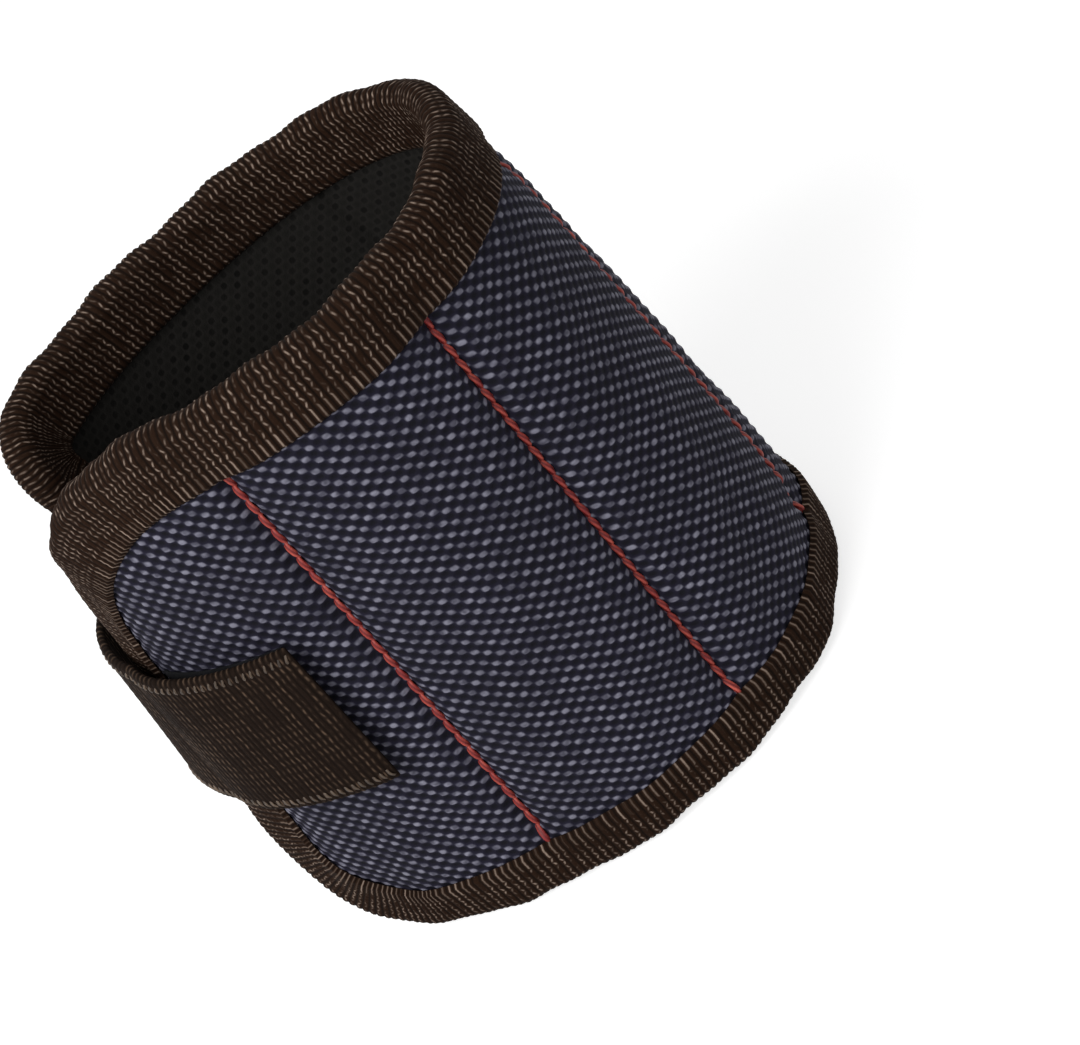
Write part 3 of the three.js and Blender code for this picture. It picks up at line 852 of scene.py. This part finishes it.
def tape_section():
    """The tape's section: from its edge on the cloth over the fold to the lining, and back underneath.

    For each point: the distance from the fold, its side (1 on the cloth, -1 on the lining), how far it
    faces out of the fold, whether it is on the tape's outer face, and the distance along the tape's width.
    """
    leg = np.linspace(BINDING_COVER, BINDING_FOLD_REACH, TAPE_LEG_STEPS + 1)
    fold = np.linspace(0, math.pi, TAPE_FOLD_STEPS + 1)[1:-1]
    lining_leg = np.linspace(BINDING_FOLD_REACH, BINDING_COVER, TAPE_LINING_STEPS + 1)
    under_leg = np.linspace(BINDING_FOLD_REACH, BINDING_COVER, TAPE_UNDER_STEPS + 1)
    under_reach = BINDING_FOLD_REACH - BINDING_THICKNESS
    under_fold = fold[:: -TAPE_UNDER_STEPS]
    cover = np.concatenate([
        leg,
        BINDING_FOLD_REACH * (1 - np.sin(fold)),
        lining_leg,
        under_leg[::-1],
        BINDING_THICKNESS + under_reach * (1 - np.sin(under_fold)),
        under_leg,
        leg[:1],
    ])
    side = np.concatenate([
        np.ones_like(leg),
        np.cos(fold),
        -np.ones_like(lining_leg),
        -np.ones_like(under_leg),
        np.cos(under_fold),
        np.ones_like(under_leg),
        [1],
    ])
    outer_count = len(leg) + len(fold) + len(lining_leg)
    under_count = 2 * len(under_leg) + len(under_fold)
    is_outer = np.concatenate([np.ones(outer_count), np.zeros(under_count), [1]])
    nose = np.sqrt(1 - side**2) * is_outer
    rim = side * (CLOTH_EDGE_TOP - LINING_DEPTH) / 2
    width = np.concatenate([[0], np.cumsum(np.hypot(np.diff(cover), np.diff(rim)))])
    width[-1] = 0
    return cover, side, nose, is_outer, width


def straight_edge(start, end, upper):
    def path(along):
        u = lerp(start, end, along)
        edge = CUFF_WIDTH if upper else 0
        return u, edge, 0, -1 if upper else 1, u

    return path, end - start


def rounded_end(start, end, upper_radius, lower_radius):
    """Along the upper edge to the panel's end, round both its corners and back along the lower edge."""
    way = math.copysign(1, end - start)
    first_run = abs(end - start) - upper_radius
    upper_quarter = upper_radius * math.pi / 2
    side = CUFF_WIDTH - upper_radius - lower_radius
    lower_quarter = lower_radius * math.pi / 2
    last_run = abs(end - start) - lower_radius
    marks = np.cumsum([0, first_run, upper_quarter, side, lower_quarter, last_run])
    length = marks[-1]
    whole_ribs = round(length / TAPE_PITCH[0]) * TAPE_PITCH[0]

    def path(along):
        done = [np.clip(along * length, low, high) - low for low, high in zip(marks[:-1], marks[1:])]
        upper_turn = done[1] / upper_radius
        lower_turn = done[3] / lower_radius
        back = lower_radius * (1 - np.cos(lower_turn)) + done[4]
        out = done[0] + upper_radius * np.sin(upper_turn) - back
        fall = upper_radius * (1 - np.cos(upper_turn)) + done[2] + lower_radius * np.sin(lower_turn)
        heading = upper_turn + lower_turn
        u = start + way * out
        distance = start + way * along * whole_ribs
        return u, CUFF_WIDTH - fall, -way * np.sin(heading), -np.cos(heading), distance

    return path, length


def rim_wave(u, z):
    """The bound edge's own soft waviness: how far the fold draws in."""
    return RIM_WAVE * (1 + waves_at(u, z, RIM_WAVES)) / 2


def tape_top(u, z):
    return cloth_top(u, z) + ripple(u, z) + TAPE_SEAT


def make_tape(name, path, length):
    cover, side, nose, is_outer, width = tape_section()

    def place(along, turn, which):
        edge_u, edge_z, in_u, in_z, distance = path(along)
        yarn = ribbed(distance, width[turn], TAPE_PITCH, TAPE_YARN_RISE) * is_outer[turn]
        leg_cover = lerp(LOWER_BINDING_COVER, BINDING_COVER, smoothstep(edge_z, 0, CUFF_WIDTH))
        leg_share = np.where(side[turn] > 0, leg_cover / BINDING_COVER, 1)
        waviness = rim_wave(edge_u, edge_z) * (1 - cover[turn] / BINDING_COVER)
        reach = cover[turn] * leg_share - nose[turn] * yarn + waviness
        u = edge_u + in_u * reach
        z = edge_z + in_z * reach
        top = tape_top(u, z)
        bottom = LINING_DEPTH - TAPE_SEAT
        lip = BINDING_LIP * smoothstep(cover[turn], BINDING_COVER - BINDING_LIP, BINDING_COVER)
        thickness = (BINDING_THICKNESS - lip + yarn) * is_outer[turn]
        d = (top + bottom) / 2 + side[turn] * ((top - bottom) / 2 + thickness)
        crossings = np.maximum(width[turn] / TAPE_PITCH[1] - TAPE_STRAIGHT_ROWS, 0)
        return u, z, d, distance / TAPE_PITCH[0], crossings

    steps = steps_for(length, TAPE_PITCH[0] / TAPE_RIB_STEPS)
    return closed_piece(name, steps, len(cover) - 1, place, GROSGRAIN)


# Stitches


def stitches_between(start, end, stitch_length):
    """Splits a seam line on the flat panel into stitches: the two ends of each."""
    count = max(1, round(math.dist(start, end) / stitch_length))
    marks = np.linspace(start, end, count + 1)
    return marks[:-1], marks[1:]


def make_stitches(name, starts, ends, surface, radius, material):
    """Lock stitches of twisted thread: each comes up from its hole, lies on the cloth and goes down."""
    ways = (ends - starts) / np.linalg.norm(ends - starts, axis=1)[:, None]

    def place(along, turn, which):
        angle = 2 * math.pi * turn / THREAD_SIDES
        plies = THREAD_PLIES * angle + 2 * math.pi * THREAD_TURNS * along
        slant = STITCH_SLANT * radius * (along - 0.5)
        middle = lerp(starts[which], ends[which], lerp(-STITCH_OVERLAP, 1 + STITCH_OVERLAP, along)[:, None])
        arch = np.sin(math.pi * np.clip(along, 0, 1)) ** STITCH_ARCH_POWER
        thick = radius * (1 - PLY_DEPTH + PLY_DEPTH * np.cos(plies)) * lerp(STITCH_HOLE_SHARE, 1, arch)
        rise = radius * lerp(STITCH_HOLE_DEPTH, STITCH_CREST_RISE, arch)
        sideways = np.cos(angle) * thick + slant
        u = middle[:, 0] - ways[which, 1] * sideways
        z = middle[:, 1] + ways[which, 0] * sideways
        d = surface(middle[:, 0], middle[:, 1]) + rise + np.sin(angle) * thick
        return u, z, d, plies / (2 * math.pi) + 0.5, along

    return closed_piece(name, STITCH_STEPS, THREAD_SIDES, place, material, count=len(starts))


# Strap


def loop_seat(u, z):
    return cloth_top(u, z) + LAYER_GAP


def loop_top(u, z):
    return loop_seat(u, z) + LOOP_THICKNESS


def hook_top(u, z):
    return loop_top(u, z) + LAYER_GAP + HOOK_THICKNESS


def strap_seat(u, z):
    """The strap's inner face: on the far end's binding, then across the mouth, then on the hook pad."""
    far_u = np.minimum(u + cuff_girth(z), PANEL_LENGTH)
    on_far_end = cloth_top(far_u, z) + BINDING_GAP + BINDING_THICKNESS + LAYER_GAP
    on_near_end = hook_top(np.maximum(u, 0), z) + LAYER_GAP
    return lerp(on_far_end, on_near_end, smoothstep(u, SWING_LINE, 0))


def strap_surface(u, z):
    return strap_seat(u, z) + STRAP_THICKNESS


def strap_section():
    """The strap's section: up its outer face, over its upper edge, down its inner face and round again."""
    half = STRAP_THICKNESS / 2
    face = np.linspace(half, STRAP_WIDTH - half, steps_for(STRAP_WIDTH, STRAP_PITCH[1] / STRAP_YARN_STEPS))
    edge = np.linspace(0, math.pi, STRAP_EDGE_STEPS + 1)[1:-1]
    cross = np.concatenate([
        face,
        STRAP_WIDTH - half + half * np.sin(edge),
        face[::-1],
        half - half * np.sin(edge),
        face[:1],
    ])
    side = np.concatenate([np.ones_like(face), np.cos(edge), -np.ones_like(face), -np.cos(edge), [1]])
    nose = np.concatenate([0 * face, np.sin(edge), 0 * face, -np.sin(edge), [0]])
    return cross, side, nose


def make_strap(name, start, end):
    cross, side, nose = strap_section()
    half = (STRAP_THICKNESS - STRAP_YARN_RISE) / 2

    def place(along, turn, which):
        u = lerp(start, end, along)
        yarn = ribbed(u, cross[turn], STRAP_PITCH, STRAP_YARN_RISE)
        z = STRAP_BOTTOM + cross[turn] + nose[turn] * yarn
        from_end = np.minimum(u - STRAP_START, STRAP_END - u)
        rounding = np.sqrt(1 - (1 - np.clip(from_end / STRAP_THICKNESS, STRAP_END_FLATNESS, 1)) ** 2)
        middle = strap_seat(u, z) + STRAP_THICKNESS / 2
        d = middle + side[turn] * (half + yarn) * rounding
        return u, z, d, u / STRAP_PITCH[0], cross[turn] / STRAP_PITCH[1]

    steps = steps_for(end - start, STRAP_PITCH[0] / STRAP_YARN_STEPS)
    return closed_piece(name, steps, len(cross) - 1, place, WEBBING)


def make_selvage(name, start, end):
    """The yarn that turns back at the webbing's two edges: a row of short slanted loops on each."""
    count = steps_for(end - start, SELVAGE_PITCH)
    number = np.arange(2 * count)
    spot_u = lerp(start, end, (np.mod(number, count) + 0.5) / count)
    outwards = np.where(number < count, 1, -1)

    def place(along, turn, which):
        angle = 2 * math.pi * turn / BRISTLE_SIDES
        u = spot_u[which] + SELVAGE_SLANT * (along - 0.5) + SELVAGE_RADIUS * np.cos(angle)
        from_edge = lerp(SELVAGE_DEPTH, STRAP_THICKNESS / 2, along)
        z = STRAP_CENTRE_HEIGHT + outwards[which] * (STRAP_WIDTH / 2 - from_edge)
        rise = lerp(-SELVAGE_RADIUS, SELVAGE_RADIUS / 2, np.sin(math.pi * np.clip(along, 0, 1)))
        d = strap_surface(u, z) + rise + SELVAGE_RADIUS * np.sin(angle)
        return u, z, d, turn / BRISTLE_SIDES + 0.5, along

    return closed_piece(name, BRISTLE_STEPS, BRISTLE_SIDES, place, SELVAGE_YARN, count=len(spot_u))


def make_backing(name, start, end, inner, outer, material):
    """The woven ground that a fastener's hooks or loops stand on."""
    across, is_outer = two_faces(FASTENER_STEPS, FASTENER_STEPS)

    def place(along, turn, which):
        u = lerp(start, end, along)
        z = lerp(STRAP_BOTTOM + HOOK_INSET, STRAP_TOP - HOOK_INSET, across[turn])
        d = np.where(is_outer[turn], outer(u, z), inner(u, z))
        return u, z, d, u, z

    return closed_piece(name, FASTENER_STEPS, len(across) - 1, place, material)


def fastener_spots(start, end, spacing):
    """Staggered spots for hooks or loops over a fastener."""
    columns = steps_for(end - start - spacing, spacing)
    rows = steps_for(STRAP_WIDTH - 2 * HOOK_INSET - spacing, spacing)
    column, row = [index.ravel() for index in np.meshgrid(np.arange(columns), np.arange(rows))]
    u = start + spacing * (SPOT_INSET + column + SPOT_STAGGER * np.mod(row, 2))
    z = STRAP_BOTTOM + HOOK_INSET + spacing * (SPOT_INSET + row)
    return u, z


def make_hooks(name, start, end):
    """Stiff hooks that stand out of the strap's inner face and curl over."""
    spot_u, spot_z = fastener_spots(start, end, HOOK_SPACING)
    facing = np.where(np.mod(np.arange(len(spot_u)), 2) > 0, 1, -1)

    def place(along, turn, which):
        angle = 2 * math.pi * turn / BRISTLE_SIDES
        side = np.sin(angle) * BRISTLE_RADIUS
        stem_height = HOOK_THICKNESS - HOOK_BACKING - HOOK_CURL
        stem = np.clip(along / HOOK_STEM_SHARE, 0, 1) * stem_height
        curl = np.clip((along - HOOK_STEM_SHARE) / (1 - HOOK_STEM_SHARE), 0, 1) * HOOK_CURL_ANGLE
        swing = HOOK_CURL * (1 - np.cos(curl)) + side * np.cos(curl)
        u = spot_u[which] + np.cos(angle) * BRISTLE_RADIUS
        z = spot_z[which] + facing[which] * swing
        reach = stem + HOOK_CURL * np.sin(curl) + side * np.sin(curl)
        d = hook_top(u, z) - HOOK_BACKING - reach
        return u, z, d, along, angle

    return closed_piece(name, BRISTLE_STEPS, BRISTLE_SIDES, place, HOOK_NYLON, count=len(spot_u))


def make_loops(name, start, end):
    """Soft loops of the patch, turned every way, that the hooks catch."""
    spot_u, spot_z = fastener_spots(start, end, LOOP_SPACING)
    number = np.arange(len(spot_u))
    way = number * GOLDEN_ANGLE
    share = 1 - LOOP_UNEVENNESS + LOOP_UNEVENNESS * np.sin(number * LOOP_UNEVEN_STEP)
    height = (LOOP_THICKNESS - LOOP_BACKING) * share

    def place(along, turn, which):
        angle = 2 * math.pi * turn / BRISTLE_SIDES
        arc = math.pi * along
        out = LOOP_HALF_WIDTH * np.cos(arc) + LOOP_RADIUS * np.cos(angle) * np.cos(arc)
        side = LOOP_RADIUS * np.sin(angle)
        u = spot_u[which] + np.cos(way[which]) * out - np.sin(way[which]) * side
        z = spot_z[which] + np.sin(way[which]) * out + np.cos(way[which]) * side
        rise = (height[which] - LOOP_RADIUS) * np.sin(arc) + LOOP_RADIUS * np.cos(angle) * np.sin(arc)
        d = loop_seat(u, z) + LOOP_BACKING + rise
        return u, z, d, along, angle

    return closed_piece(name, BRISTLE_STEPS, BRISTLE_SIDES, place, LOOP_PILE, count=len(spot_u))


# Foam pads


def make_foam(pocket):
    """A pocket's foam pad with its magnet wells, from its solid, with rounded edges."""
    node = f"foam_pad_{POCKETS[pocket]}"
    bm = bmesh.new()
    bm.from_mesh(frame["nodes"][node].data)
    bmesh.ops.remove_doubles(bm, verts=bm.verts, dist=SEAM_GAP * MM)
    bmesh.ops.dissolve_limit(bm, angle_limit=math.radians(FOAM_FLAT_ANGLE), verts=bm.verts, edges=bm.edges)
    bmesh.ops.triangulate(bm, faces=bm.faces)
    mesh = bpy.data.meshes.new(f"pocket_foam_{POCKETS[pocket]}")
    bm.to_mesh(mesh)
    bm.free()
    mesh.shade_smooth()
    mesh.set_sharp_from_angle(angle=math.radians(FOAM_SHARP_ANGLE))
    piece = new_piece(mesh.name, mesh, FOAM)
    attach(piece, pocket_body(pocket))
    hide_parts(node)


# The panel


def finish_layer(layer, row, node_prefix):
    """Bakes a stretch of cloth or lining in place at its stitch row and hides the solids that it stands
    for.
    """
    letters = POCKETS[row - 1 :] if row == ROWS[-1] else POCKETS[row - 1 : row]
    bend_at_row(layer, row)
    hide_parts(*[f"{node_prefix}_{letter}" for letter in letters])


for stretch, start, end, row in panel_stretches():
    finish_layer(make_cloth(stretch, start, end), row, "outer_cloth")
    finish_layer(make_lining(stretch, start, end), row, "lining")

for pocket in range(len(POCKETS)):
    make_foam(pocket)
    for level in ("lower", "upper"):
        magnet = frame["nodes"][f"magnet_{level}_{POCKETS[pocket]}"]
        magnet.data.materials.clear()
        magnet.data.materials.append(NICKEL)

# Each tape's name, edge, stitch row and the bindings that it stands for
near_join = pocket_middle(ROWS[0])
far_join = pocket_middle(ROWS[-1] - 1)
near_edge = rounded_end(near_join, 0, NEAR_UPPER_CORNER_RADIUS, NEAR_LOWER_CORNER_RADIUS)
far_edge = rounded_end(far_join, PANEL_LENGTH, FAR_CORNER_RADIUS, FAR_CORNER_RADIUS)
tapes = [
    ("near_end_tape", near_edge, ROWS[0], ["near_end_binding", "lower_binding_b", "upper_binding_b"]),
    ("far_end_tape", far_edge, ROWS[-1], ["far_end_binding", "lower_binding_d", "upper_binding_d"]),
]
for row in ROWS[1:-1]:
    for level in ("lower", "upper"):
        edge = straight_edge(pocket_middle(row - 1), pocket_middle(row), level == "upper")
        bindings = [f"{level}_binding_{POCKETS[row]}"] if row == ROWS[1] else []
        tapes.append((f"{level}_tape_fold_{row}", edge, row, bindings))
for name, (path, length), row, bindings in tapes:
    tape = make_tape(name, path, length)
    bend_at_row(tape, row)
    if bindings:
        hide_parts(*bindings)

for row in ROWS:
    place_u = row_place(row)
    starts, ends = stitches_between(
        (place_u, LOWER_BINDING_COVER - ROW_TUCK),
        (place_u, CUFF_WIDTH - BINDING_COVER + ROW_TUCK),
        STITCH_LENGTH,
    )
    red_row = make_stitches(f"red_stitches_{row}", starts, ends, cloth_surface, THREAD_RADIUS, RED_THREAD)
    bend_at_row(red_row, row)
    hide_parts(f"red_stitch_row_{row}")

# The strap: each stretch with its hinge line, and the body before it and the one after
root_end = (SWING_LINE + PEEL_LINE) / 2
turn_end = (PEEL_LINE + TAB_LINE) / 2
strap_parts = [
    ("strap_root", STRAP_START, root_end, "strap_swing", SWING_LINE, "pocket_e", "strap_middle"),
    ("strap_turn", root_end, turn_end, "strap_peel", PEEL_LINE, "strap_middle", "strap_end"),
    ("strap_tip", turn_end, STRAP_END, "tab_lift", TAB_LINE, "strap_end", "strap_tab"),
]
strap_nodes = {
    "strap_root": ["strap_sewn_base"],
    "strap_turn": ["strap_bridge"],
    "strap_tip": ["strap_over", "strap_pull_tab"],
}
for name, start, end, hinge, line, before, after in strap_parts:
    strap = make_strap(name, start, end)
    selvage = make_selvage(f"{name}_selvage", start, end)
    for webbing in (strap, selvage):
        bend_at(webbing, hinge, line, STRAP_CENTRE_HEIGHT)
    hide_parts(*strap_nodes[name])

hook_end = TAB_LINE - HOOK_INSET
hook_backing = make_backing(
    "hook_backing", FASTENER_START, hook_end,
    lambda u, z: hook_top(u, z) - HOOK_BACKING, hook_top, HOOK_NYLON,
)
hooks = make_hooks("hook_bristles", FASTENER_START, hook_end)
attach(hook_backing, "strap_end")
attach(hooks, "strap_end")
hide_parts("hook_pad")
loop_end = STRAP_END - LOOP_INSET
loop_backing = make_backing(
    "loop_backing", FASTENER_START, loop_end,
    loop_seat, lambda u, z: loop_seat(u, z) + LOOP_BACKING, LOOP_PILE,
)
loops = make_loops("loop_pile", FASTENER_START, loop_end)
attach(loop_backing, "pocket_a")
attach(loops, "pocket_a")
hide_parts("loop_patch")

# The sewn base's box stitch: a square with its two diagonals
box_left = STRAP_START + BOX_STITCH_INSET
box_right = SWING_LINE - BOX_STITCH_INSET
box_low = STRAP_BOTTOM + BOX_STITCH_INSET
box_high = STRAP_TOP - BOX_STITCH_INSET
box_corners = [(box_left, box_low), (box_right, box_low), (box_right, box_high), (box_left, box_high)]
seams = [(box_corners[i], box_corners[(i + 1) % 4]) for i in range(4)]
seams += [(box_corners[0], box_corners[2]), (box_corners[1], box_corners[3])]
split_seams = [stitches_between(seam[0], seam[1], STITCH_LENGTH) for seam in seams]
box_stitch = make_stitches(
    "strap_box_stitch",
    np.concatenate([starts for starts, _ in split_seams]),
    np.concatenate([ends for _, ends in split_seams]),
    strap_surface,
    BOX_THREAD_RADIUS,
    RED_THREAD,
)
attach(box_stitch, "pocket_e")
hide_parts("strap_base_stitch")


# Floor, light and camera


def seen_directly(tree):
    """1 for what the camera sees, straight or through gloss and glass."""
    path = add(tree, "ShaderNodeLightPath").outputs
    seen = {0: path["Is Camera Ray"], 1: path["Is Glossy Ray"]}
    seen = {0: add(tree, "ShaderNodeMath", seen, operation="MAXIMUM"), 1: path["Is Transmission Ray"]}
    return add(tree, "ShaderNodeMath", seen, operation="MAXIMUM")


def make_floor():
    """A plain pale floor that the hand-side edge stands on."""
    low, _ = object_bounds()
    bm = bmesh.new()
    bmesh.ops.create_grid(bm, x_segments=1, y_segments=1, size=FLOOR_HALF_SIZE)
    bmesh.ops.translate(bm, verts=bm.verts, vec=(0, 0, low.z))
    mesh = bpy.data.meshes.new("floor")
    bm.to_mesh(mesh)
    bm.free()
    material, tree = new_material("matt_white_paper")
    lift = {0: seen_directly(tree), 1: FLOOR_LIFT}
    glow = add(tree, "ShaderNodeMath", lift, operation="MULTIPLY")
    finish_material(
        tree,
        {
            "Base Color": linear("#c8c8c8"),
            "Roughness": 0.95,
            "Specular IOR Level": 0.1,
            "Emission Color": linear("#ffffff"),
            "Emission Strength": glow,
        },
    )
    floor = new_piece("floor", mesh, material)


def make_light(name, place, size, power):
    """A soft square lamp that faces the cuff."""
    lamp = bpy.data.lights.new(name, "AREA")
    lamp.size = size
    lamp.energy = power
    holder = bpy.data.objects.new(name, lamp)
    holder.location = place
    holder.rotation_euler = (CUFF_MIDDLE - Vector(place)).to_track_quat("-Z", "Y").to_euler()
    bpy.context.scene.collection.objects.link(holder)


def make_world(ambient):
    """Even light from all round, and a white background where the camera sees past the floor."""
    world = bpy.data.worlds.new("studio")
    bpy.context.scene.world = world
    world.use_nodes = True
    tree = world.node_tree
    tree.nodes.clear()
    span = {"Value": seen_directly(tree), "To Min": ambient, "To Max": 1.0}
    strength = add(tree, "ShaderNodeMapRange", span)
    sky = add(tree, "ShaderNodeBackground", {"Color": linear("#ffffff"), "Strength": strength})
    add(tree, "ShaderNodeOutputWorld", {"Surface": sky})


def make_camera():
    """Looks at the front pocket from above, tilted as the forearm is held."""
    elevation = math.radians(CAMERA_ELEVATION)
    roll = math.radians(CAMERA_ROLL)
    back = Vector((0, -math.cos(elevation), math.sin(elevation)))
    level = Vector((1, 0, 0))
    upright = Vector((0, math.sin(elevation), math.cos(elevation)))
    right = math.cos(roll) * level + math.sin(roll) * upright
    up = -math.sin(roll) * level + math.cos(roll) * upright
    oval_centre = Vector((np.array([0, 0, CUFF_WIDTH / 2]) + CENTRING) * MM)
    place = oval_centre + (back * CAMERA_DISTANCE + right * CAMERA_RIGHT + up * CAMERA_UP) * MM
    data = bpy.data.cameras.new("camera")
    data.sensor_width = SENSOR_WIDTH
    data.lens = FOCAL_PIXELS / PHOTO_WIDTH * SENSOR_WIDTH
    camera = bpy.data.objects.new("camera", data)
    camera.matrix_world = Matrix.Translation(place) @ Matrix((right, up, back)).transposed().to_4x4()
    bpy.context.scene.collection.objects.link(camera)
    bpy.context.scene.camera = camera


make_floor()
make_light("key", place=(-0.5, -0.42, 0.62), size=0.5, power=5.4)
make_light("fill", place=(-0.05, -0.7, 0.45), size=0.6, power=1.2)
make_light("rim", place=(0.0, 0.55, 0.6), size=0.5, power=0.4)
make_world(ambient=0.28)
make_camera()
bpy.context.scene.view_settings.view_transform = "Standard"
